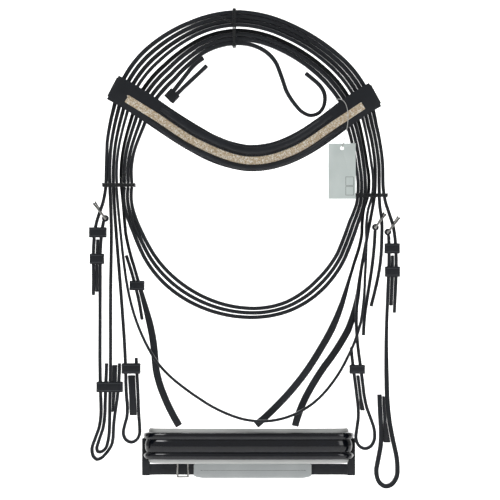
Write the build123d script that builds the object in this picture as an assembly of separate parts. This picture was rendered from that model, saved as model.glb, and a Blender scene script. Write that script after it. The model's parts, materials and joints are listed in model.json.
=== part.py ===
from build123d import *
import math
import os

# Leather snaffle bridle, hung by its crown with the reins wound and tied in a coil.
# X runs across the bridle, Y from its front to its back, Z up. Origin: inner top of the crown.

# Driving dimensions (mm)
STRAP_T = 4.0              # thickness of the cheek, rein and crown leather
STRAP_W = 16.0             # width of those straps
THROAT_W = 9.0             # width of the throatlatch
THROAT_Y = -(STRAP_W + THROAT_W) / 2 - 1       # the throatlatch runs in front of the other straps
SLIP_Y = STRAP_W + 0.6     # the noseband headstrap runs behind them
LAYERS = 8                 # straps stacked over the crown
CROWN_SWELL = 1.28         # padded crown: how much thicker the straps are over the top
SWELL_LOW = -112.0         # height where the straps start to thicken
SWELL_HIGH = -60.0         # height where they have their full thickness
# Swelling towards a strap's foot: full thickness over normal, height where it starts, where it is full
EVEN = (1.0, -200.0, -300.0)
HANG_SWELL = (2.2, -290.0, -350.0)
COIL_SWELL = (1.17, -190.0, -240.0)
CHEEK_SWELL = (1.4, -350.0, -420.0)
STACK_GAP = 0.3            # clearance between pieces that touch
WIRE_R = 1.5               # buckle wire radius
TONGUE_R = 1.0             # buckle tongue radius
SLOT_REACH = 13.0          # half height of a billet's tongue slot
KEEPER_WALL = 1.8          # leather of a keeper
KEEPER_H = 13.0            # height of a keeper
BROW_W = 33.0              # browband height
BROW_T = 4.0               # browband leather
BROW_Y = THROAT_Y - THROAT_W / 2 - 2 - BROW_T   # front face of the browband leather
ROLL_T = 4.0               # how far the browband's padded rolls stand proud
CRYSTAL_W = 10.0           # height of the crystal strip
NOSE_H = 34.0              # height of the noseband front
NOSE_T = 5.0               # noseband leather
NOSE_TOP = -484.0          # top edge of the noseband front
LINING_T = 7.0             # noseband padding
LINING_PROUD = 5.0         # how far the padding stands above and below the leather
JAW_H = 14.0               # height of the jaw strap
JAW_T = 3.5                # thickness of the jaw strap
JAW_TOP = -525.0           # top edge of the jaw strap
TAG_W = 34.0
TAG_H = 69.0
TAG_T = 0.8
TIE_T = 1.6                # thickness of the wire ties
LONG_ARC = 45.0            # longest arc in a strap's outline, about
FLAT_BOW = 0.002           # an arc flatter than this is a straight run

os.makedirs("parts", exist_ok=True)

# Outer and inner edge of the strap stack, from the left tie over the crown to the right tie.
STACK = [
    ((-173.5, -172), (-136.5, -172)),
    ((-172.5, -122), (-130, -122)),
    ((-165, -80), (-121, -101)),
    ((-151, -38), (-107, -70)),
    ((-116, 4), (-84, -45)),
    ((-66, 32), (-52, -14)),
    ((-4, 44.5), (-4, 0)),
    ((59, 29), (44, -13)),
    ((121, -10), (88, -43)),
    ((156, -53), (114, -74)),
    ((169, -99), (130, -107)),
    ((177, -149), (139, -152)),
    ((176.5, -189), (140.5, -189)),
]


def layer(index, first=0, last=len(STACK)):
    """Centreline of one strap of the stack, counted from the outside."""
    share = (index + 0.5) / LAYERS
    points = []
    for outer, inner in STACK[first:last]:
        x = outer[0] + (inner[0] - outer[0]) * share
        z = outer[1] + (inner[1] - outer[1]) * share
        points.append((x, z))
    return points


def stations(points):
    """Places along the smooth line through the points, closer together where the points are."""
    line = Spline([Vector(x, z) for x, z in points])
    ends = [Vector(x, z) for x, z in points]
    marks = [0.0]
    for here, there in zip(ends, ends[1:]):
        chord = (there - here).length
        pieces = 2 * max(1, round(chord / LONG_ARC))
        for _ in range(pieces):
            marks.append(marks[-1] + chord / pieces)
    return [(line @ (m / marks[-1]), line % (m / marks[-1])) for m in marks]


def swell(z, crown, foot):
    """How much thicker a strap is at a height, growing towards the crown and towards its foot."""
    up = (z - SWELL_LOW) / (SWELL_HIGH - SWELL_LOW)
    full, high, low = foot
    down = (high - z) / (high - low)
    return 1 + (crown - 1) * min(1.0, max(0.0, up)) + (full - 1) * min(1.0, max(0.0, down))


def shifted(points, distance, crown=1.0, foot=EVEN):
    """The line through the points, moved a distance to its left."""
    moved = []
    for place, along in stations(points):
        side = Vector(-along.Y, along.X).normalized()
        moved.append(place + side * distance * swell(place.Y, crown, foot))
    return moved


def arcs(places):
    """A chain of arcs through places two by two, with a straight run where they are in line."""
    chain = []
    for start, middle, end in zip(places[0::2], places[1::2], places[2::2]):
        bow = (middle - start).cross(end - start).length / (end - start).length
        if bow < FLAT_BOW:
            chain.append(Line(start, end))
        else:
            chain.append(ThreePointArc(start, middle, end))
    return chain


def band(points, thick, crown=1.0, foot=EVEN):
    """Flat face of a strap seen on edge."""
    one = shifted(points, thick / 2, crown, foot)
    two = shifted(points, -thick / 2, crown, foot)
    caps = [Line(one[0], two[0]), Line(one[-1], two[-1])]
    return make_face(arcs(one) + arcs(two) + caps)


def upright(face, y_low, y_high):
    """Stand a flat outline up in the XZ plane and give it its width along Y."""
    solid = extrude(face, amount=y_high - y_low)
    return Pos(0, y_high, 0) * Rot(90, 0, 0) * solid


def strap(points, thick=STRAP_T, width=STRAP_W, y=0.0, foot=EVEN):
    return upright(band(points, thick, CROWN_SWELL, foot), y - width / 2, y + width / 2)


def box(x, y, z):
    """Box from three (low, high) pairs."""
    middle = Pos((x[0] + x[1]) / 2, (y[0] + y[1]) / 2, (z[0] + z[1]) / 2)
    return middle * Box(x[1] - x[0], y[1] - y[0], z[1] - z[0])


def sleeve(x, y, z, wall=KEEPER_WALL):
    """A closed loop of leather or wire round straps that run up and down."""
    outer = box((x[0] - wall, x[1] + wall), (y[0] - wall, y[1] + wall), z)
    return outer - box(x, y, (z[0] - 1, z[1] + 1))


def save(name, solid):
    export_step(solid, f"parts/{name}.step")
    return solid


# Headpiece: the outermost strap, whose two ends are the cheek billets
LEFT_BAR = (-172.0, -216.0)
LEFT_FAR = (-186.0, -198.0)
RIGHT_BAR = (181.0, -233.0)
RIGHT_FAR = (194.8, -216.0)
SECOND_BAR = (165.5, -227.0)
SECOND_FAR = (177.5, -211.5)
BILLET_LEFT = [(-187, -312), (-187, -270), (-186, -240), (-182, -217), (-175.5, -198)]
BILLET_RIGHT = [(174.9, -170), (175.9, -184), (179.3, -200), (187, -223), (190.5, -247), (191.5, -280),
                (189, -334)]


def on_line(a, b, share):
    return (a[0] + (b[0] - a[0]) * share, a[1] + (b[1] - a[1]) * share)


def tongue_slot(bar, far):
    """Hole in a billet that the buckle tongue goes through."""
    x, z = on_line(bar, far, 0.5)
    half = TONGUE_R + 1
    return box((x - 12, x + 12), (-half, half), (z - SLOT_REACH, z + SLOT_REACH))


def headpiece():
    whole = strap(BILLET_LEFT + layer(0, 0, 12) + BILLET_RIGHT)
    whole = whole - tongue_slot(LEFT_BAR, LEFT_FAR)
    return whole - tongue_slot(RIGHT_BAR, RIGHT_FAR)


EYE_R = WIRE_R + STACK_GAP + 2.4


def eye_gap(bar):
    """Gap in the middle of a rolled end, where the tongue turns on the bar."""
    x, z = bar
    half = TONGUE_R + 1.2
    return box((x - EYE_R - 3, x + EYE_R + 3), (-half, half), (z - EYE_R, z + EYE_R + 1))


def cheekpiece(route, bar, foot=EVEN):
    """Strap whose upper end is rolled round a buckle bar."""
    outline = band(route, STRAP_T, 1.0, foot) + Pos(*bar) * Circle(EYE_R)
    outline = outline - Pos(*bar) * Circle(WIRE_R + STACK_GAP)
    return upright(outline, -STRAP_W / 2, STRAP_W / 2) - eye_gap(bar)



LEFT_CHEEK = [
    (-174, -219), (-177, -238), (-178.5, -270), (-178.5, -340), (-178.5, -413), (-177.5, -449),
    (-180, -478), (-187, -497), (-188, -510.5), (-182.5, -517), (-172.5, -511), (-163.5, -497),
    (-162, -483), (-161, -468), (-157.5, -443), (-155, -418), (-154.5, -397),
]
RIGHT_CHEEK = [
    (182, -237), (182.5, -255), (182, -285), (179.5, -345), (179.5, -420), (183, -470),
    (190, -505), (193, -530), (187, -547), (177, -550.5), (168, -541), (167.5, -524),
    (172, -500), (172, -470), (171, -450), (170.5, -436),
]
SECOND_CHEEK = [(165, -231), (164, -250), (160, -285), (153, -330), (150.5, -362)]


# Buckles: a frame and a tongue that turn on the same bar
def buckle_frame(bar, far):
    """Round bars across the strap, joined by flat sides."""
    half = STRAP_W / 2 + 0.8 + WIRE_R
    middle = on_line(bar, far, 0.5)
    run = math.hypot(far[0] - bar[0], far[1] - bar[1])
    tilt = math.degrees(math.atan2(bar[0] - far[0], far[1] - bar[1]))
    place = Pos(middle[0], 0, middle[1]) * Rot(0, -tilt, 0)
    frame = place * (Pos(0, 0, -run / 2) * Rot(90, 0, 0) * Cylinder(WIRE_R, 2 * half))
    frame = frame + place * (Pos(0, 0, run / 2) * Rot(90, 0, 0) * Cylinder(WIRE_R, 2 * half))
    for y in (-half, half):
        frame = frame + place * (Pos(0, y, 0) * Box(2.4, 2.4, run + 2.4))
    return frame


def buckle_tongue(bar, far):
    """Rod that hangs on the bar by a collar and rests on the far side of the frame."""
    low = Vector(bar[0], 0, bar[1])
    high = Vector(far[0], 0, far[1])
    reach = (high - low).normalized()
    outward = 1 if reach.X < 0 else -1
    lift = Vector(reach.Z, 0, -reach.X) * outward
    collar = Circle(WIRE_R + STACK_GAP + 1.0) - Circle(WIRE_R + STACK_GAP)
    ring = upright(Pos(*bar) * collar, -TONGUE_R, TONGUE_R)
    root = low + reach * (WIRE_R + STACK_GAP + 0.6)
    tip = high + reach * (WIRE_R + 0.5) + lift * (WIRE_R + TONGUE_R + STACK_GAP)
    rod = Plane(origin=root, z_dir=tip - root) * Circle(TONGUE_R)
    return ring + extrude(rod, amount=(tip - root).length)


# Second strap of each side, nested inside the cheekpiece's bit loop
SECOND_LEFT = [
    (-170.5, -397), (-171, -413), (-172.3, -449), (-175, -479), (-181.8, -499), (-181.5, -507),
    (-177, -507.5), (-169.5, -497.5), (-167.2, -483), (-166.5, -449), (-165.7, -413),
    (-165.5, -340), (-165.2, -290), (-164.5, -240), (-165.2, -205),
]
SECOND_RIGHT = [
    (170.1, -170), (170.3, -187), (171.2, -203), (173.2, -216), (173.5, -235),
    (172.5, -262), (168.5, -290), (163.5, -312),
    (160, -326),
]


def second_headstrap():
    whole = strap(SECOND_LEFT + layer(1, 0, 12) + SECOND_RIGHT)
    return whole - tongue_slot(SECOND_BAR, SECOND_FAR)


# Rein whose two bit ends hang inside the cheekpieces
REIN_LEFT = [
    (-133.5, -390), (-132.5, -410), (-131, -440), (-130, -465), (-129, -480), (-131, -490),
    (-139.5, -495.5), (-148, -490), (-149, -479), (-145, -464), (-145.5, -440), (-146.5, -410),
    (-149.5, -350), (-154, -290), (-158, -240), (-160.5, -205),
]
REIN_RIGHT = [
    (165.2, -170), (164.4, -187), (161.5, -205), (155, -240),
    (146, -290), (141.5, -345), (146, -395), (150, -425),
    (154.5, -452), (162.5, -474), (164.5, -488), (161, -499), (152, -503.5), (143.5, -498),
    (141.5, -484), (144, -466), (142.5, -440), (139, -412), (135, -377),
]


def bit_rein():
    return strap(REIN_LEFT + layer(2, 0, 12) + REIN_RIGHT)


# Throatlatch: a narrow strap that hangs in a long curve below the coil
THROAT_HANG = [
    (156, -205), (154, -240), (152, -290), (147, -345), (130, -390), (98, -437), (73, -456),
    (27, -469), (-5, -465), (-54, -441), (-79, -423), (-105, -398), (-122, -370),
    (-136, -335), (-146, -290), (-152, -240), (-155.5, -205), (-157.6, -177),
]


def throatlatch():
    return strap(layer(3) + THROAT_HANG, 3.4, THROAT_W, THROAT_Y)


# Noseband headstrap, behind the others, with a hanger down each side
HANG_LEFT = [
    (-80.0, -475.9), (-88, -462), (-100, -436), (-109, -405), (-111, -383), (-118, -343),
    (-127, -310), (-137, -275), (-147, -235), (-149.5, -205),
]
HANG_RIGHT = [
    (151, -205), (149, -235), (140.5, -268), (111, -355), (97.5, -379), (82.5, -403),
    (67.5, -423), (51, -442), (16.4, -474.9),
]


def noseband_headstrap():
    return strap(HANG_LEFT + layer(4) + HANG_RIGHT, STRAP_T, STRAP_W, SLIP_Y, HANG_SWELL)


def slip_strap(route, foot=EVEN):
    return strap(route, STRAP_T, STRAP_W, SLIP_Y, foot)


RIGHT_HANGER = [(150, -268), (146, -295), (132, -355), (103, -400), (84, -430), (65.2, -476.2)]
LEFT_HANGER_BILLET = [(-146.5, -262), (-137.8, -290), (-131.5, -315), (-126.5, -343)]


# Rein coil: turns of the reins that hang below the crown as an oval
COIL_OUTER = [
    (-150.4, -176.5), (-149.5, -205), (-140, -232), (-127, -264), (-97, -303), (-48, -332),
    (9, -342.5), (59, -334), (102.5, -306), (130, -266), (145.5, -224), (153, -200),
]
COIL_INNER = [
    (-136.5, -176.5), (-135, -205), (-124.5, -232), (-110, -258), (-83, -288), (-39, -315),
    (9, -325.5), (54, -317.5), (91, -290), (116, -258), (131, -219), (139.5, -198),
]


def coil_turn(turn, turns=3):
    share = (turn + 0.5) / turns
    route = []
    for outer, inner in zip(COIL_OUTER, COIL_INNER):
        route.append(on_line(outer, inner, share))
    return route


def coil_ring(turn):
    """One whole turn, over the crown and round the bottom, whose ends meet under the left tie."""
    index = LAYERS - 3 + turn
    route = layer(index, 0, 12) + coil_turn(turn)[::-1]
    return strap(route, foot=COIL_SWELL)


def rein_bight():
    """The innermost turn ends in a slack loop that hangs inside the crown."""
    over = layer(LAYERS - 1, 0, 7)
    slack = [
        (26, -6), (42, -23), (53, -54), (67, -76), (82, -87), (95, -84), (102, -71),
        (101, -58), (92.5, -46.5), (78, -34.5),
    ]
    return strap(over + slack)


def rein_inner_turn():
    return strap(layer(LAYERS - 1, 9, 12) + coil_turn(2)[::-1], foot=COIL_SWELL)


# Loose end of the reins inside the crown: it lies along the innermost strap and folds back
END_KEEPER = (-88.6, -63.0)
END_TURN = 43.0            # lean of the keeper
END_SPACING = 5.6          # between the strap and its folded tip


def beside_keeper(distance, along):
    """A place in the keeper's plane, from its middle line and along it."""
    turn = math.radians(END_TURN)
    x = END_KEEPER[0] + math.cos(turn) * distance + math.sin(turn) * along
    return x, END_KEEPER[1] - math.sin(turn) * distance + math.cos(turn) * along


def rein_end():
    inside = shifted(layer(LAYERS - 1, 0, 7), -(STRAP_T * CROWN_SWELL + 2 * STACK_GAP))
    beside = [(place.X, place.Y) for place in inside if -70 < place.X < -45]
    print("rein end runs beside", [(round(x), round(z)) for x, z in beside])
    low = beside_keeper(-END_SPACING / 2, -5)
    return strap([low, beside_keeper(-END_SPACING / 2, 4)] + beside)


def rein_tip():
    low = beside_keeper(END_SPACING / 2, -7)
    return strap([low, beside_keeper(END_SPACING / 2, 6), (-62, -41), (-45, -25)])


def rein_end_keeper():
    half = (END_SPACING + STRAP_T * CROWN_SWELL) / 2 + 0.4
    y = (-STRAP_W / 2 - 0.4, STRAP_W / 2 + 0.4)
    ring = sleeve((-half, half), y, (-KEEPER_H / 2, KEEPER_H / 2))
    return Pos(END_KEEPER[0], 0, END_KEEPER[1]) * Rot(0, END_TURN, 0) * ring


# Fillers sewn between the two legs of a folded strap, given as places on each leg
LEFT_REIN_LEGS = [(-146.4, -412), (-144.8, -440), (-144.1, -462)], [(-132.4, -412), (-131, -440), (-130.1, -462)]
RIGHT_REIN_LEGS = [(139, -412), (142.5, -440), (144, -456)], [(148.1, -412), (151.5, -440), (155, -456)]
LEFT_BIT_LEGS = (
    [(-165.6, -399), (-165.9, -418), (-166.4, -443), (-166.7, -458)],
    [(-154.6, -399), (-155, -418), (-157.5, -443), (-159.4, -458)],
)
RIGHT_BIT_LEGS = (
    [(170.6, -438), (171, -450), (172, -470), (172.2, -496)],
    [(180.2, -438), (181, -450), (183, -470), (187.8, -496)],
)
LEFT_BILLET_LEGS = [(-186.1, -242), (-187, -270), (-187, -308)], [(-177.3, -242), (-178.5, -270), (-178.5, -308)]
RIGHT_BILLET_LEGS = [(182.5, -262), (182, -285), (180.3, -325)], [(191.2, -262), (191.5, -280), (189.6, -325)]


def filler(legs, swelling=1.0):
    clear = STRAP_T * swelling / 2 + 2 * STACK_GAP
    one = [(x + clear, z) for x, z in legs[0]]
    two = [(x - clear, z) for x, z in legs[1]]
    face = make_face(Polyline(*one, *two[::-1], close=True))
    return upright(face, -STRAP_W / 2 + 0.5, STRAP_W / 2 - 0.5)


# Browband
BROW = [(-162, -53), (-110, -85), (-55, -120), (5, -141), (60, -130), (118, -93), (164.5, -62)]
BROW_BACK = SLIP_Y + STRAP_W / 2 + 3.4


def brow_band(low, high, y_low, y_high, route=BROW):
    """A band of the browband between two heights measured from its middle line."""
    middle = (low + high) / 2
    moved = [(place.X, place.Y) for place in shifted(route, middle)[::2]]
    return upright(band(moved, high - low), y_low, y_high)


def end_wall(low, high, wall=2.5):
    face = band([low, on_line(low, high, 0.5), high], wall)
    return upright(face, BROW_Y + BROW_T - 0.5, BROW_BACK)


def browband():
    front = brow_band(-BROW_W / 2, BROW_W / 2, BROW_Y, BROW_Y + BROW_T)
    left_back = brow_band(-BROW_W / 2 + 4, BROW_W / 2 - 4, BROW_BACK - 0.5, BROW_BACK + 2,
                          [(-162, -53), (-134, -70), (-105, -88)])
    right_back = brow_band(-BROW_W / 2 + 4, BROW_W / 2 - 4, BROW_BACK - 0.5, BROW_BACK + 2,
                           [(112, -97), (138, -78), (164.5, -62)])
    whole = front + left_back + right_back
    whole = whole + end_wall((-156, -41), (-168, -64))
    whole = whole + end_wall((-97, -76), (-112, -99))
    whole = whole + end_wall((158.5, -50), (171, -73))
    return whole + end_wall((104, -86), (119, -109))


def brow_roll(low, high):
    return brow_band(low, high, BROW_Y - ROLL_T - STACK_GAP, BROW_Y - STACK_GAP,
                     [(-108, -86), (-55, -120), (5, -141), (60, -130), (118, -93)])


def crystal_strip():
    return brow_band(-8, -8 + CRYSTAL_W, BROW_Y - 2.5, BROW_Y,
                     [(-143, -66), (-110, -85), (-55, -120), (5, -141), (60, -130), (118, -93),
                      (147, -74)])


# Noseband: a curved front, its padding, a jaw strap and the chin pad
NOSE_PLAN = [
    (-122, 26), (-117, 13), (-100, 6), (-60, 2.8), (8, 2), (76, 2.8), (114, 6), (131, 13),
    (136, 26),
]


def plan_band(points, thick, z_low, z_high):
    """Band that follows a line seen from above."""
    return Pos(0, 0, z_low) * extrude(band(points, thick), amount=z_high - z_low)


def inset_plan(points, distance):
    return [(place.X, place.Y) for place in shifted(points, distance)[::2]]


def noseband_front():
    return plan_band(NOSE_PLAN, NOSE_T, NOSE_TOP - NOSE_H, NOSE_TOP)


def noseband_padding():
    inside = inset_plan(NOSE_PLAN, (NOSE_T + LINING_T) / 2 + 2 * STACK_GAP)
    low = NOSE_TOP - NOSE_H - LINING_PROUD
    return plan_band(inside, LINING_T, low, NOSE_TOP + LINING_PROUD)


JAW_PLAN = [(-124, 31.8), (-117, 42), (-90, 46), (8, 47), (104, 46), (131, 42), (138, 31.8)]


def jaw_strap():
    return plan_band(JAW_PLAN, JAW_T, JAW_TOP - JAW_H, JAW_TOP)


def chin_pad():
    line = [(-62, 39.2), (12, 39.7), (86, 39.2)]
    return plan_band(line, 9, JAW_TOP - JAW_H - 4, JAW_TOP + 2)


def jaw_loop(x):
    """Leather loop that hangs the jaw strap from one end of the noseband."""
    return box((x - 5, x + 5), (26.8, 31.2), (JAW_TOP - JAW_H, NOSE_TOP - 8))


def jaw_buckle():
    high = JAW_TOP + 1.5
    low = JAW_TOP - JAW_H - 1.5
    ring = box((-84, -68), (41.5, 51), (low - 2, high + 2))
    ring = ring - box((-81.5, -70.5), (40, 52), (low, high))
    return ring - box((-90, -60), (43.6, 49.0), (low, high))


# Tag on its thread
TAG_TOP = (123.0, -123.0)
HOLE_Z = TAG_TOP[1] - 6


def tag():
    x, z = TAG_TOP
    card = box((x - TAG_W / 2, x + TAG_W / 2), (BROW_Y - 9, BROW_Y - 9 + TAG_T), (z - TAG_H, z))
    return card - upright(Pos(x, HOLE_Z) * Circle(2.2), BROW_Y - 12, BROW_Y - 6)


THREAD_R = 0.5
THREAD = [
    (107.0, -21.5, -80.0), (111.5, -26.0, -72.5), (118.5, -30.0, -68.0), (126.0, -31.5, -71.5),
    (130.0, -31.8, -83.0), (130.0, -32.4, -99.0), (126.5, -33.6, -116.0),
    (123.0, -33.9, -129.0),
]


def thread():
    points = [Vector(*p) for p in THREAD]
    radii = []
    for before, here, after in zip(points, points[1:], points[2:]):
        turn = math.radians((here - before).get_angle(after - here))
        short = min((here - before).length, (after - here).length)
        radii.append(0.45 * short / math.tan(turn / 2))
    print("thread radii", [round(r, 1) for r in radii])
    path = FilletPolyline(*points, radius=radii)
    section = Plane(origin=points[0], z_dir=points[1] - points[0]) * Circle(THREAD_R)
    return sweep(section, path)


# Wire ties and keepers
DEPTH = (THROAT_Y - THROAT_W / 2 - 0.5, SLIP_Y + STRAP_W / 2 + 0.5)


def tie(name, x, z_middle, height=5.0):
    save(name, sleeve(x, DEPTH, (z_middle - height / 2, z_middle + height / 2), TIE_T))


def crown_tie():
    outer = box((-13.5, -8.5), (DEPTH[0] - TIE_T, DEPTH[1] + TIE_T), (-2.2, 46.2))
    return outer - box((-14, -8), DEPTH, (-0.6, 44.6))


def keeper(name, x, z_top, y=(-STRAP_W / 2 - 0.4, STRAP_W / 2 + 0.4), height=KEEPER_H):
    save(name, sleeve(x, y, (z_top - height, z_top)))


save("headpiece", headpiece())
save("left_cheekpiece", cheekpiece(LEFT_CHEEK, LEFT_BAR))
save("right_cheekpiece", cheekpiece(RIGHT_CHEEK, RIGHT_BAR, CHEEK_SWELL))
save("left_buckle_frame", buckle_frame(LEFT_BAR, LEFT_FAR))
save("right_buckle_frame", buckle_frame(RIGHT_BAR, RIGHT_FAR))
save("left_buckle_tongue", buckle_tongue(LEFT_BAR, LEFT_FAR))
save("right_buckle_tongue", buckle_tongue(RIGHT_BAR, RIGHT_FAR))
save("second_headstrap", second_headstrap())
save("bit_rein", bit_rein())
save("throatlatch", throatlatch())
save("noseband_headstrap", noseband_headstrap())
save("right_second_cheek", cheekpiece(SECOND_CHEEK, SECOND_BAR))
save("second_buckle_frame", buckle_frame(SECOND_BAR, SECOND_FAR))
save("second_buckle_tongue", buckle_tongue(SECOND_BAR, SECOND_FAR))
save("right_noseband_hanger", slip_strap(RIGHT_HANGER, HANG_SWELL))
save("left_hanger_billet", slip_strap(LEFT_HANGER_BILLET))
save("rein_turn_outer", coil_ring(0))
save("rein_turn_middle", coil_ring(1))
save("rein_turn_inner", rein_inner_turn())
save("rein_bight", rein_bight())
save("left_rein_filler", filler(LEFT_REIN_LEGS))
save("right_rein_filler", filler(RIGHT_REIN_LEGS))
save("left_bit_filler", filler(LEFT_BIT_LEGS))
save("right_bit_filler", filler(RIGHT_BIT_LEGS, CHEEK_SWELL[0]))
save("left_billet_filler", filler(LEFT_BILLET_LEGS))
save("right_billet_filler", filler(RIGHT_BILLET_LEGS))
save("rein_end", rein_end())
save("rein_tip", rein_tip())
save("rein_end_keeper", rein_end_keeper())
save("browband", browband())
save("browband_upper_roll", brow_roll(9, BROW_W / 2))
save("browband_lower_roll", brow_roll(-BROW_W / 2, -8.5))
save("crystal_strip", crystal_strip())
save("noseband_front", noseband_front())
save("noseband_padding", noseband_padding())
save("jaw_strap", jaw_strap())
save("chin_pad", chin_pad())
save("left_jaw_loop", jaw_loop(-122))
save("right_jaw_loop", jaw_loop(136))
save("jaw_buckle", jaw_buckle())
save("swing_tag", tag())
save("tag_thread", thread())
save("crown_tie", crown_tie())
tie("left_tie", (-174.4, -136.0), -174.2, 6.0)
tie("right_tie", (139.8, 179.2), -187)
keeper("left_upper_keeper", (-190.4, -172.4), -227)
keeper("left_sliding_keeper", (-189.6, -175.4), -260)
keeper("right_upper_keeper", (178.8, 194.0), -247)
keeper("right_sliding_keeper", (179.2, 194.2), -276)
keeper("left_bit_keeper", (-181.2, -152.0), -420)
keeper("left_rein_keeper", (-149.6, -130.0), -397)
keeper("right_rein_keeper", (134.9, 150.5), -399, height=11)
SLIP_EDGES = (SLIP_Y - STRAP_W / 2 - STACK_GAP, SLIP_Y + STRAP_W / 2 + STACK_GAP)
keeper("left_hanger_keeper", (-140.2, -125.4), -294, SLIP_EDGES, 12)
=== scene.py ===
import json
import math
import random

import bmesh
import bpy
from mathutils import Matrix, Vector


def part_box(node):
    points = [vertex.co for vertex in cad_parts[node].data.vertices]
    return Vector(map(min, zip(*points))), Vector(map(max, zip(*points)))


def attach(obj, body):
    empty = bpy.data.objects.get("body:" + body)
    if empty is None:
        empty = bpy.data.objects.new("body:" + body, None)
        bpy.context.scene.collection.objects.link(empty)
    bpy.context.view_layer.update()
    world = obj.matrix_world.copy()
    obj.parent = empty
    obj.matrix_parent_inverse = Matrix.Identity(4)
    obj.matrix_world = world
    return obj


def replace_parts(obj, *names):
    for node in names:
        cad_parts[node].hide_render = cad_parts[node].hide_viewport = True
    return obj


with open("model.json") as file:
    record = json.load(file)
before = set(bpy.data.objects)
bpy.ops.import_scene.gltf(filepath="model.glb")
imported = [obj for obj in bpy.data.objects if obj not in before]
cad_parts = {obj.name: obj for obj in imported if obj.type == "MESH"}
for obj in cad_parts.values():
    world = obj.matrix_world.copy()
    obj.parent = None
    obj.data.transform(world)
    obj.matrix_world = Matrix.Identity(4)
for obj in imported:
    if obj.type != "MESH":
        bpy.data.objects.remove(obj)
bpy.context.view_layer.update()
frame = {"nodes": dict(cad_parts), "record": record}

random.seed(11)


class Socket:
    """One output of a shader node. Arithmetic on it adds Math nodes."""

    def __init__(self, tree, out):
        self.tree = tree
        self.out = out

    def maths(self, operation, *others):
        node = self.tree.nodes.new("ShaderNodeMath")
        node.operation = operation
        for port, value in zip(node.inputs, (self, *others)):
            plug(self.tree, port, value)
        return Socket(self.tree, node.outputs[0])

    def __add__(self, other):
        return self.maths("ADD", other)

    def __sub__(self, other):
        return self.maths("SUBTRACT", other)

    def __mul__(self, other):
        return self.maths("MULTIPLY", other)

    def __rsub__(self, other):
        return self * -1.0 + other

    __radd__ = __add__
    __rmul__ = __mul__

    def above(self, other):
        return self.maths("GREATER_THAN", other)

    def below(self, other):
        return self.maths("LESS_THAN", other)

    def size(self):
        return self.maths("ABSOLUTE")


def plug(tree, port, value):
    """Links a socket to a port, or sets the port's own value."""
    if isinstance(value, Socket):
        tree.links.new(value.out, port)
    else:
        port.default_value = value


# A Mix node's colour sockets share their names with its other ones, so they go by number
MIX_SHARE, MIX_FIRST, MIX_SECOND, MIX_COLOUR = 0, 6, 7, 2


class Material:
    """A material with one Principled shader, fed from object coordinates."""

    def __init__(self, name):
        self.made = bpy.data.materials.new(name)
        self.made.use_nodes = True
        self.tree = self.made.node_tree
        self.shader = self.tree.nodes["Principled BSDF"]
        self.place = self.node("ShaderNodeTexCoord", {}, "Object")

    def node(self, kind, inputs, output=0, **settings):
        """A node of a kind: its settings first, then its inputs, by name or by number."""
        node = self.tree.nodes.new(kind)
        for name, value in settings.items():
            setattr(node, name, value)
        for port, value in inputs.items():
            plug(self.tree, node.inputs[port], value)
        return Socket(self.tree, node.outputs[output])

    def noise(self, scale, detail, stretch=None):
        where = self.place
        if stretch:
            where = self.node("ShaderNodeMapping", {"Vector": where, "Scale": stretch})
        inputs = {"Vector": where, "Scale": scale, "Detail": detail}
        return self.node("ShaderNodeTexNoise", inputs)

    def cells(self, scale, output="Distance"):
        return self.node("ShaderNodeTexVoronoi", {"Vector": self.place, "Scale": scale}, output)

    def mix(self, share, first, second):
        """A colour between two others."""
        inputs = {MIX_SHARE: share, MIX_FIRST: first, MIX_SECOND: second}
        return self.node("ShaderNodeMix", inputs, MIX_COLOUR, data_type="RGBA")

    def bump(self, height, distance, strength):
        inputs = {"Height": height, "Distance": distance, "Strength": strength}
        self.set(Normal=self.node("ShaderNodeBump", inputs))

    def set(self, **values):
        """Sets or links the shader's own sockets."""
        for name, value in values.items():
            plug(self.tree, self.shader.inputs[name.replace("_", " ")], value)


def rgb(red, green, blue):
    """A linear colour from eight-bit display values."""
    return tuple(((v / 255 + 0.055) / 1.055) ** 2.4 for v in (red, green, blue)) + (1.0,)


def leather_material():
    m = Material("bridle leather")
    broad = m.noise(28.0, 4.0)
    fine = m.noise(900.0, 4.0)
    grain = m.cells(1500.0)
    worn = m.noise(11.0, 2.0)
    tone = m.mix(broad, rgb(9, 12, 17), rgb(24, 29, 37))
    m.set(Base_Color=m.mix(worn.above(0.62) * 0.35, tone, rgb(36, 41, 49)))
    m.set(Roughness=fine * 0.18 + broad * 0.16 + 0.2)
    m.set(Specular_IOR_Level=0.45)
    m.bump(grain * 0.6 + fine * 0.5, 0.00012, 0.7)
    return m.made


def patent_material():
    m = Material("patent leather")
    ripple = m.noise(34.0, 2.0, (1.0, 1.0, 0.35))
    orange_peel = m.noise(260.0, 2.0)
    m.set(Base_Color=m.mix(ripple, rgb(4, 6, 11), rgb(13, 17, 27)))
    m.set(Roughness=orange_peel * 0.08 + 0.06, Coat_Weight=0.35, Coat_Roughness=0.03)
    m.bump(ripple + orange_peel * 0.06, 0.0016, 0.55)
    return m.made


def padding_material(name, light, dark):
    m = Material(name)
    soft = m.noise(30.0, 4.0)
    pores = m.cells(1300.0)
    crease = m.noise(55.0, 5.0, (1.0, 1.0, 3.0))
    m.set(Base_Color=m.mix(soft * 0.8, light, dark))
    m.set(Roughness=soft * 0.12 + 0.5)
    m.bump(pores * 0.25 + crease * 0.8, 0.0005, 0.5)
    return m.made


def nickel_material():
    m = Material("nickel")
    tarnish = m.noise(120.0, 4.0)
    scratch = m.noise(420.0, 3.0, (1.0, 1.0, 6.0))
    m.set(Base_Color=m.mix(tarnish, rgb(150, 149, 146), rgb(190, 189, 186)))
    m.set(Metallic=1.0)
    m.set(Roughness=tarnish * 0.14 + scratch * 0.08 + 0.06)
    m.bump(scratch, 0.00003, 0.4)
    return m.made


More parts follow.
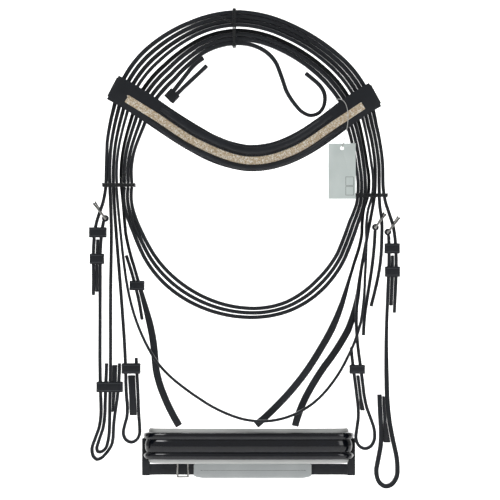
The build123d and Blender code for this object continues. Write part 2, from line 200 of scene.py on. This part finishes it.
def gem_material():
    m = Material("champagne crystal")
    stone = m.cells(850.0, "Color")
    shade = m.node("ShaderNodeSeparateColor", {"Color": stone})
    bright = m.mix(shade, rgb(190, 166, 130), rgb(250, 236, 212))
    # Stones whose cell value is over 0.8 are painted near-white: painted glints for facets that
    # catch the light.
    m.set(Base_Color=m.mix(shade.above(0.8), bright, rgb(255, 250, 238)))
    m.set(Roughness=shade * 0.16 + 0.1)
    m.set(Metallic=0.35, Coat_Weight=1.0, Coat_Roughness=0.02)
    return m.made


def wire_material():
    m = Material("coated tie wire")
    dull = m.noise(200.0, 3.0)
    m.set(Base_Color=m.mix(dull, rgb(10, 11, 12), rgb(38, 41, 43)))
    m.set(Roughness=dull * 0.2 + 0.42)
    m.bump(dull, 0.0001, 0.4)
    return m.made


def thread_material():
    m = Material("tag filament")
    thin = m.noise(300.0, 2.0)
    m.set(Base_Color=m.mix(thin, rgb(150, 150, 148), rgb(214, 214, 210)))
    m.set(Roughness=thin * 0.2 + 0.25)
    return m.made


def stitch_material():
    m = Material("stitching")
    twist = m.noise(2400.0, 2.0)
    m.set(Base_Color=m.mix(twist, rgb(46, 48, 52), rgb(82, 85, 90)))
    m.set(Roughness=twist * 0.2 + 0.5)
    m.bump(twist, 0.0001, 0.6)
    return m.made


# The swing card's two empty boxes, from the card's lower right corner
BOX_BOTTOMS_TOPS = ((0.0165, 0.0275), (0.0045, 0.0155))
BOX_MIDDLE = 0.0075
BOX_HALF_WIDTH, BOX_HALF_INSIDE = 0.0050, 0.0046
BOX_LINE = 0.0004


def card_material(low, high):
    """Pale card with two thin-lined empty boxes low on its right."""
    m = Material("swing card")
    x = m.node("ShaderNodeSeparateXYZ", {"Vector": m.place}, "X")
    z = m.node("ShaderNodeSeparateXYZ", {"Vector": m.place}, "Z")
    fibre = m.noise(900.0, 4.0)
    cloud = m.noise(40.0, 2.0)
    lines = []
    for bottom, top in BOX_BOTTOMS_TOPS:
        z_low, z_high = low.z + bottom, low.z + top
        wide = (x - (high.x - BOX_MIDDLE)).size()
        tall = (z - (z_low + z_high) / 2).size()
        half = (z_high - z_low) / 2
        outer = wide.below(BOX_HALF_WIDTH) * tall.below(half)
        inner = wide.below(BOX_HALF_INSIDE) * tall.below(half - BOX_LINE)
        lines.append(outer - inner)
    ink = (lines[0] + lines[1]).maths("MINIMUM", 1.0)
    base = m.mix(cloud, rgb(196, 207, 204), rgb(220, 228, 225))
    m.set(Base_Color=m.mix(ink, base, rgb(38, 42, 44)))
    m.set(Roughness=fibre * 0.15 + 0.35)
    m.bump(fibre, 0.00004, 0.5)
    return m.made


def room_material(name, colour):
    m = Material(name)
    m.set(Base_Color=colour, Roughness=0.9, Emission_Color=colour, Emission_Strength=0.25)
    return m.made


LEATHER = leather_material()
PATENT = patent_material()
PADDING = padding_material("white padding", rgb(216, 217, 214), rgb(184, 187, 186))
CHIN = padding_material("chin pad leather", rgb(196, 200, 200), rgb(164, 169, 171))
NICKEL = nickel_material()
GEMS = gem_material()
WIRE = wire_material()
THREAD = thread_material()
STITCH = stitch_material()


# Each node's body and its material slot
BODY = {n: b for b, nodes in frame["record"]["behaviour"]["bodies"].items() for n in nodes}
SLOT = {s["node"]: s["material_slot"] for s in frame["record"]["subparts"]}


def put(name, mesh_data, material, node, smooth_angle=0.7):
    """Adds one finished mesh that belongs to a node and moves with its body."""
    made = bpy.data.objects.new(name.replace(" ", "_"), mesh_data)
    bpy.context.scene.collection.objects.link(made)
    made.data.materials.clear()
    made.data.materials.append(material)
    for face in made.data.polygons:
        face.use_smooth = True
    made.data.set_sharp_from_angle(angle=smooth_angle)
    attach(made, BODY[node])
    return made


def from_bmesh(bm, name):
    """The mesh of a finished bmesh, with its faces turned outwards."""
    data = bpy.data.meshes.new(name)
    bmesh.ops.recalc_face_normals(bm, faces=bm.faces)
    bm.to_mesh(data)
    bm.free()
    return data


# Angles, in radians, under which faces are merged and over which an edge is sharp
FLAT, SHARP = 0.012, 0.9


def rounded(node, material, width, steps=3, name=None):
    """A copy of a CAD node with its sharp edges rolled over."""
    bm = bmesh.new()
    bm.from_mesh(frame["nodes"][node].data)
    bmesh.ops.remove_doubles(bm, verts=bm.verts, dist=1e-6)
    bmesh.ops.dissolve_limit(bm, angle_limit=FLAT, verts=bm.verts, edges=bm.edges)
    sharp = [e for e in bm.edges if len(e.link_faces) == 2 and e.calc_face_angle(0) > SHARP]
    bmesh.ops.bevel(bm, geom=sharp, offset=width, segments=steps, profile=0.5,
                    affect="EDGES", clamp_overlap=True)
    bmesh.ops.triangulate(bm, faces=[f for f in bm.faces if len(f.verts) > 4])
    made = put(name or node + " finished", from_bmesh(bm, node), material, node)
    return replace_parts(made, node)


# Smooth lines through stations, in metres
def curve(points, step=0.003):
    """Points along a smooth line through the stations, close together."""
    ends = [points[0] * 2 - points[1]] + list(points) + [points[-1] * 2 - points[-2]]
    out = []
    for a, b, c, d in zip(ends, ends[1:], ends[2:], ends[3:]):
        count = max(2, int((c - b).length / step))
        for i in range(count):
            t = i / count
            out.append(0.5 * (2 * b + (c - a) * t + (2 * a - 5 * b + 4 * c - d) * t * t
                              + (3 * b - a - 3 * c + d) * t ** 3))
    return out + [points[-1].copy()]


def tangents(line):
    """The direction of a line at each of its points."""
    before = [line[0]] + line[:-1]
    after = line[1:] + [line[-1]]
    return [(b - a).normalized() for a, b in zip(before, after)]


def add_tube(bm, line, radius, sides=8):
    """A round tube along a line, closed at both ends."""
    heads = tangents(line)
    side = heads[0].orthogonal().normalized()
    rings = []
    for place, head in zip(line, heads):
        side = (side - head * side.dot(head)).normalized()
        other = head.cross(side)
        turns = [2 * math.pi * k / sides for k in range(sides)]
        rings.append([(place + (side * math.cos(a) + other * math.sin(a)) * radius)
                      for a in turns])
    skin(bm, rings)


def skin(bm, rings):
    """Lays a grid on rings of places, merges its seam and fills its two ends."""
    rows, around = len(rings) - 1, len(rings[0])
    made = bmesh.ops.create_grid(bm, x_segments=rows, y_segments=around, size=1.0)["verts"]
    for vert in made:
        row = round((vert.co.x + 1) / 2 * rows)
        step = round((vert.co.y + 1) / 2 * around) % around
        vert.co = rings[row][step]
    bmesh.ops.remove_doubles(bm, verts=made, dist=1e-8)
    bmesh.ops.holes_fill(bm, edges=[e for e in bm.edges if e.is_boundary], sides=0)


def add_section(bm, line, up, profile):
    """Sweeps a closed outline along a line. Its first number runs along up, its second across."""
    rings = []
    for place, head in zip(line, tangents(line)):
        across = up.cross(head).normalized()
        lift = head.cross(across).normalized()
        rings.append([(place + lift * u + across * v) for u, v in profile])
    skin(bm, rings)


def oval(half_u, half_v, power=2.6, count=24, centre=(0.0, 0.0)):
    """A soft-cornered closed outline."""
    out = []
    for k in range(count):
        a = 2 * math.pi * k / count
        c, s = math.cos(a), math.sin(a)
        out.append((centre[0] + half_u * math.copysign(abs(c) ** (2 / power), c),
                    centre[1] + half_v * math.copysign(abs(s) ** (2 / power), s)))
    return out


def mm(points, y=None):
    """Places in metres from millimetres: whole places, or x and z at one depth."""
    if y is None:
        return [Vector(p) / 1000 for p in points]
    return [Vector((x, y, z)) / 1000 for x, z in points]


def turned_to(place, head):
    """Matrix that stands a shape's own Z along a direction at a place."""
    return Matrix.Translation(place) @ head.to_track_quat("Z", "Y").to_matrix().to_4x4()


def add_stitches(bm, line, pitch=0.0034, length=0.0022, radius=0.00028):
    """Short raised stitches at an even pitch along a line."""
    travelled = 0.0
    for a, b in zip(line, line[1:]):
        gap = (b - a).length
        travelled += gap
        if travelled >= pitch and gap > 1e-6:
            travelled -= pitch
            bmesh.ops.create_cone(bm, cap_ends=True, segments=6, radius1=radius, radius2=radius,
                                  depth=length, matrix=turned_to(b, (b - a).normalized()))


def beside(line, up, lift, across):
    """A line moved up and sideways."""
    out = []
    for place, head in zip(line, tangents(line)):
        side = up.cross(head).normalized()
        out.append(place + head.cross(side).normalized() * lift + side * across)
    return out


# Straps, keepers and buckles: CAD nodes with their edges rolled over by these widths
BUCKLE_EDGE, KEEPER_EDGE, BROWBAND_EDGE, STRAP_EDGE = 0.0007, 0.0006, 0.0009, 0.0010
SPECIAL = {"noseband_front", "noseband_padding", "chin_pad", "crystal_strip", "swing_tag",
           "tag_thread", "browband_upper_roll", "browband_lower_roll", "crown_tie", "left_tie",
           "right_tie"}
for node in sorted(SLOT):
    if node in SPECIAL:
        continue
    if "buckle" in node:
        rounded(node, NICKEL, BUCKLE_EDGE)
    elif "keeper" in node:
        rounded(node, LEATHER, KEEPER_EDGE)
    elif node == "browband":
        rounded(node, LEATHER, BROWBAND_EDGE)
    else:
        rounded(node, LEATHER, STRAP_EDGE)


# Browband: padded rolls, stitch lines and set crystals
X_AXIS, Y_AXIS, UP = Vector((1, 0, 0)), Vector((0, 1, 0)), Vector((0, 0, 1))
BROW = mm([(-162, -53), (-110, -85), (-55, -120), (5, -141), (60, -130), (118, -93),
           (164.5, -62)], -24.0)
brow_line = curve(BROW, 0.002)

# Depths of the rolls, their stitches, the crystals' backing and the crystals
ROLL_Y, SEAM_Y, BACKING_Y, GEM_Y = -0.0247, -0.02415, -0.0242, -0.0248
SEAM_GAP = 0.0011             # from a roll's edge to its stitches
GEM_ROWS = 4
GEM_MIDDLE = -0.003           # the rows' middle, above the browband's line
GEM_PITCH = 0.00235
GEM_SIZE = 0.00112
FINE = 0.0008                 # spacing of points on a line that carries stitches


def stretch_between(line, low_x, high_x):
    return [p for p in line if low_x <= p.x <= high_x]


def square_to(head):
    """The direction square to a line in the plane of the front."""
    return Vector((-head.z, 0, head.x)).normalized()


def shifted_line(line, distance, y):
    """A line moved square to itself and set at one depth."""
    return [Vector((place.x, y, place.z)) + square_to(head) * distance
            for place, head in zip(line, tangents(line))]


def roll(node, centre, half):
    """A padded roll that thins towards its ends, with a row of stitches on each side."""
    low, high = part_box(node)
    line = stretch_between(shifted_line(brow_line, centre, ROLL_Y), low.x + 0.001, high.x - 0.001)
    outline = oval(0.0036, half, 2.2, 20)
    rings = []
    bm = bmesh.new()
    count = len(line)
    for i, (place, head) in enumerate(zip(line, tangents(line))):
        taper = min(1.0, 0.25 + 12.0 * min(i, count - 1 - i) / count)
        square = square_to(head)
        rings.append([(place + Y_AXIS * u * taper + square * v * (0.4 + 0.6 * taper))
                      for u, v in outline])
    skin(bm, rings)
    made = put(node + " padded", from_bmesh(bm, node), LEATHER, node)
    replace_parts(made, node)
    seams = bmesh.new()
    for edge in (centre - half - SEAM_GAP, centre + half + SEAM_GAP):
        seam = stretch_between(shifted_line(brow_line, edge, SEAM_Y), low.x, high.x)
        add_stitches(seams, curve(seam[::6], FINE))
    put(node + " stitches", from_bmesh(seams, "stitches"), STITCH, node)


roll("browband_upper_roll", 0.0092, 0.0052)
roll("browband_lower_roll", -0.0118, 0.0034)


def add_gem(bm, place, size):
    """A faceted stone that faces the front, each leaning its own way."""
    lean = Vector((random.uniform(-0.2, 0.2), -1, random.uniform(-0.2, 0.2))).normalized()
    bmesh.ops.create_cone(bm, cap_ends=True, segments=8, radius1=size, radius2=size * 0.55,
                          depth=size * 0.9, matrix=turned_to(place, lean))


def crystals():
    """Rows of set stones, every second row half a stone along, on a thin backing."""
    low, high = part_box("crystal_strip")
    backing = bmesh.new()
    line = stretch_between(shifted_line(brow_line, GEM_MIDDLE, BACKING_Y),
                           low.x + 0.001, high.x - 0.001)
    outline = oval(0.0006, 0.0049, 5, 16)
    rings = []
    for place, head in zip(line, tangents(line)):
        square = square_to(head)
        rings.append([(place + Y_AXIS * u + square * v) for u, v in outline])
    skin(backing, rings)
    put("crystal backing", from_bmesh(backing, "backing"), GEMS, "crystal_strip")
    bm = bmesh.new()
    dense = curve(BROW, 0.0002)
    for row in range(GEM_ROWS):
        offset = GEM_MIDDLE + (row - (GEM_ROWS - 1) / 2) * GEM_PITCH
        route = stretch_between(shifted_line(dense, offset, GEM_Y),
                                low.x + 0.002, high.x - 0.002)
        travelled = 0.00117 if row % 2 else 0.0
        for a, b in zip(route, route[1:]):
            travelled += (b - a).length
            if travelled < GEM_PITCH:
                continue
            travelled -= GEM_PITCH
            add_gem(bm, b, GEM_SIZE)
    made = put("set crystals", from_bmesh(bm, "crystals"), GEMS, "crystal_strip", 0.1)
    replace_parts(made, "crystal_strip")


crystals()


# Noseband: a patent front with raised rolls on a fat pale padding
NOSE = [(-122, 26), (-117, 13), (-100, 6), (-60, 2.8), (8, 2), (76, 2.8), (114, 6), (131, 13),
        (136, 26)]
NOSE_MIDDLE = -501
NOSE_HALF = 0.017
NOSE_BACK = 0.0022            # back of the patent front, behind its line
NOSE_FRONT = -0.0004          # where its rolls start
SOFT_ROLL, SOFT_PROUD = 0.46, 0.0022   # the wide middle roll's share of the half and height
EDGE_ROLL, EDGE_HALF, EDGE_PROUD = 0.73, 0.27, 0.0030   # the edge rolls' middle, half and height
NOSE_SEAM = 0.0079            # stitches above and below the middle
nose_line = curve(mm([(x, y, NOSE_MIDDLE) for x, y in NOSE]), 0.0025)


def nose_profile():
    """Section of the patent front: two fat rolls at the edges and a wide soft one between."""
    front = []
    count = 56
    for k in range(count + 1):
        z = -NOSE_HALF + 2 * NOSE_HALF * k / count
        a = abs(z) / NOSE_HALF
        if a < SOFT_ROLL:
            bulge = SOFT_PROUD * (1 - (a / SOFT_ROLL) ** 2) ** 0.5
        else:
            t = (a - EDGE_ROLL) / EDGE_HALF
            bulge = EDGE_PROUD * max(0.0, 1 - t * t) ** 0.5
        front.append((z, NOSE_FRONT - bulge))
    return front + [(NOSE_HALF, NOSE_BACK), (-NOSE_HALF, NOSE_BACK)]


def noseband():
    bm = bmesh.new()
    add_section(bm, nose_line, UP, nose_profile())
    made = put("noseband patent", from_bmesh(bm, "patent"), PATENT, "noseband_front", 0.9)
    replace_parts(made, "noseband_front")
    seams = bmesh.new()
    fine = curve(nose_line[::4], FINE)
    for lift in (-NOSE_SEAM, NOSE_SEAM):
        add_stitches(seams, beside(fine, UP, lift, -0.0006))
    put("noseband stitches", from_bmesh(seams, "stitches"), STITCH, "noseband_front")


def noseband_lining():
    """The padding wraps the back of the front and shows as a fat rim above and below."""
    bm = bmesh.new()
    inner = beside(nose_line, UP, 0.0, 0.0067)
    low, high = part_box("noseband_padding")
    half = (high.z - low.z) / 2
    add_section(bm, inner, UP, oval(half, 0.0041, 3.4, 48))
    made = put("noseband lining", from_bmesh(bm, "padding"), PADDING, "noseband_padding")
    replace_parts(made, "noseband_padding")


noseband()
noseband_lining()


def chin_pad():
    """A pale pad behind the jaw strap, rounded off at its ends, with stitches on both faces."""
    low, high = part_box("chin_pad")
    bm = bmesh.new()
    middle, half = (low + high) / 2, (high - low) / 2
    steps = 40
    outline = oval(half.z, half.y, 3.2, 32)
    rings = []
    for k in range(steps + 1):
        place = Vector((low.x + (high.x - low.x) * k / steps, middle.y, middle.z))
        from_end = min(k, steps - k) / 3.0
        grow = min(1.0, 0.72 + 0.28 * math.sqrt(min(1.0, from_end)))
        rings.append([(place + Vector((0, v * grow, u * grow))) for u, v in outline])
    skin(bm, rings)
    made = put("chin pad leather", from_bmesh(bm, "chin pad"), CHIN, "chin_pad")
    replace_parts(made, "chin_pad")
    seam = bmesh.new()
    start = low.x + 0.006
    count = int((high.x - low.x - 0.012) / FINE)
    for y in (low.y + 0.0001, high.y - 0.0001):
        row = [Vector((start + k * FINE, y, middle.z)) for k in range(count)]
        add_stitches(seam, row, 0.0036, 0.0023, 0.0003)
    put("chin pad stitches", from_bmesh(seam, "stitches"), STITCH, "chin_pad")


chin_pad()


# Tag and its thread
def swing_tag():
    card = card_material(*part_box("swing_tag"))
    rounded("swing_tag", card, 0.0002, 1, "swing card")


swing_tag()

THREAD_R = 0.00045
THREAD_LINE = [(107.0, -21.5, -80.0), (111.5, -26.0, -72.5), (118.5, -30.0, -68.0),
               (126.0, -31.5, -71.5), (130.0, -31.8, -83.0), (130.0, -32.4, -99.0),
               (126.5, -33.6, -116.0), (123.0, -33.9, -129.0)]


def tag_thread():
    line = curve(mm(THREAD_LINE), 0.001)
    bm = bmesh.new()
    add_tube(bm, line, THREAD_R)
    made = put("tag filament", from_bmesh(bm, "filament"), THREAD, "tag_thread")
    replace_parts(made, "tag_thread")
    length = sum((b - a).length for a, b in zip(line, line[1:]))


tag_thread()


# Twisted wire ties round the strap bundles
def rounded_loop(low, high, corner, first, second, count=10):
    """Points round a soft-cornered rectangle in the plane of two axes."""
    middle = (low + high) / 2
    out = []
    half_a = abs((high - low).dot(first)) / 2 - corner
    half_b = abs((high - low).dot(second)) / 2 - corner
    for quarter, (a, b) in enumerate(((1, 1), (-1, 1), (-1, -1), (1, -1))):
        for k in range(count):
            turn = math.pi / 2 * (quarter + k / (count - 1))
            out.append(middle + first * (a * half_a + corner * math.cos(turn))
                       + second * (b * half_b + corner * math.sin(turn)))
    return out


WIRE_R, TAIL_R = 0.00065, 0.0006
WIRE_ROUNDS = (-0.0015, 0.0, 0.0015)   # where each round of wire lies along the straps
WIRE_CORNER = 0.004
TWIST_R, TWIST_TURN = 0.0007, 20       # the twist's radius and its turn from end to end
SPLAY_FROM = 0.75                      # share of the tails' length where they part


def wire_tie(node, first, second, along, knot, tails):
    """Rounds of wire side by side, with a twist whose two tails stand off the front."""
    low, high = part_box(node)
    inset = Vector((0.0008, 0.0008, 0.0008))
    low, high = low + inset, high - inset
    bm = bmesh.new()
    for shift in WIRE_ROUNDS:
        loop = [p + along * (shift + 0.0005 * math.sin(3 * i + shift * 900))
                for i, p in enumerate(rounded_loop(low, high, WIRE_CORNER, first, second))]
        add_tube(bm, loop + loop[:1], WIRE_R)
    start = Vector(knot)
    for phase, tail in zip((0.0, math.pi), tails):
        end = Vector(tail)
        head = (end - start).normalized()
        side = head.orthogonal().normalized()
        other = head.cross(side)
        line = []
        for k in range(60):
            t = k / 59
            swirl = TWIST_R if t < SPLAY_FROM else TWIST_R + 0.002 * (t - SPLAY_FROM)
            angle = phase + TWIST_TURN * t
            line.append(start + (end - start) * t
                        + (side * math.cos(angle) + other * math.sin(angle)) * swirl)
        add_tube(bm, line, TAIL_R)
    made = put(node + " wire", from_bmesh(bm, node), WIRE, node)
    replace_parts(made, node)


wire_tie("crown_tie", Y_AXIS, UP, X_AXIS, (-0.011, -0.0205, 0.026),
         ((-0.027, -0.0225, 0.036), (-0.0285, -0.022, 0.0325)))
wire_tie("left_tie", X_AXIS, Y_AXIS, UP, (-0.152, -0.0205, -0.1742),
         ((-0.148, -0.0225, -0.157), (-0.1465, -0.022, -0.159)))
wire_tie("right_tie", X_AXIS, Y_AXIS, UP, (0.153, -0.0205, -0.189),
         ((0.1695, -0.0225, -0.187), (0.1705, -0.022, -0.1895)))


# Thin lines round the keepers, near each open end
def keeper_lines(node):
    low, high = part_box(node)
    bm = bmesh.new()
    for z in (low.z + 0.0022, high.z - 0.0022):
        line = rounded_loop(Vector((low.x, low.y, z)), Vector((high.x, high.y, z)), 0.0008,
                            X_AXIS, Y_AXIS, 5)
        add_tube(bm, line + line[:1], 0.00035, 5)
    put(node + " lines", from_bmesh(bm, "lines"), STITCH, node)


for node in sorted(SLOT):
    if "keeper" in node and node != "rein_end_keeper":
        keeper_lines(node)


# Studio, with lights that face the bridle's middle
MIDDLE = (0.0, 0.0, -0.26)


def light(name, place, size, power, target=MIDDLE):
    data = bpy.data.lights.new(name, "AREA")
    data.shape = "RECTANGLE"
    data.size, data.size_y = size
    data.energy = power
    made = bpy.data.objects.new(name, data)
    bpy.context.scene.collection.objects.link(made)
    made.location = place
    aim = Vector(target) - Vector(place)
    made.rotation_euler = aim.to_track_quat("-Z", "Y").to_euler()


def panel(name, matrix):
    """A wide white square that belongs to the room."""
    bm = bmesh.new()
    bmesh.ops.create_grid(bm, x_segments=1, y_segments=1, size=9.0, matrix=matrix)
    data = bpy.data.meshes.new(name)
    bm.to_mesh(data)
    bm.free()
    data.materials.append(room_material(name, rgb(250, 250, 250)))
    made = bpy.data.objects.new(name, data)
    bpy.context.scene.collection.objects.link(made)


BACKDROP_Y = 6.5
panel("floor", Matrix.Translation((0, 0, -0.9)))
panel("backdrop",
      Matrix.Translation((0, BACKDROP_Y, 0)) @ Matrix.Rotation(math.pi / 2, 4, "X"))

light("key", (-1.3, -1.8, 1.3), (0.9, 0.9), 15)
light("fill", (1.6, -1.6, 0.3), (0.7, 1.4), 6)
light("top", (0.0, 0.2, 1.8), (1.6, 0.5), 9)
light("backdrop wash", (0.0, 3.2, 3.2), (4, 1.0), 260, (0.0, BACKDROP_Y, -0.2))

world = bpy.data.worlds.new("soft room")
bpy.context.scene.world = world
world.use_nodes = True
background = world.node_tree.nodes["Background"]
background.inputs["Color"].default_value = (1.0, 1.0, 1.0, 1.0)
background.inputs["Strength"].default_value = 0.34

camera_data = bpy.data.cameras.new("camera")
camera_data.sensor_width = 36
camera_data.lens = 288
camera_data.clip_end = 50
camera = bpy.data.objects.new("camera", camera_data)
bpy.context.scene.collection.objects.link(camera)
camera.location = (0.00875, -5.0, -0.2555)
camera.rotation_euler = (math.pi / 2, 0, 0)
bpy.context.scene.camera = camera
bpy.context.scene.view_settings.view_transform = "Standard"
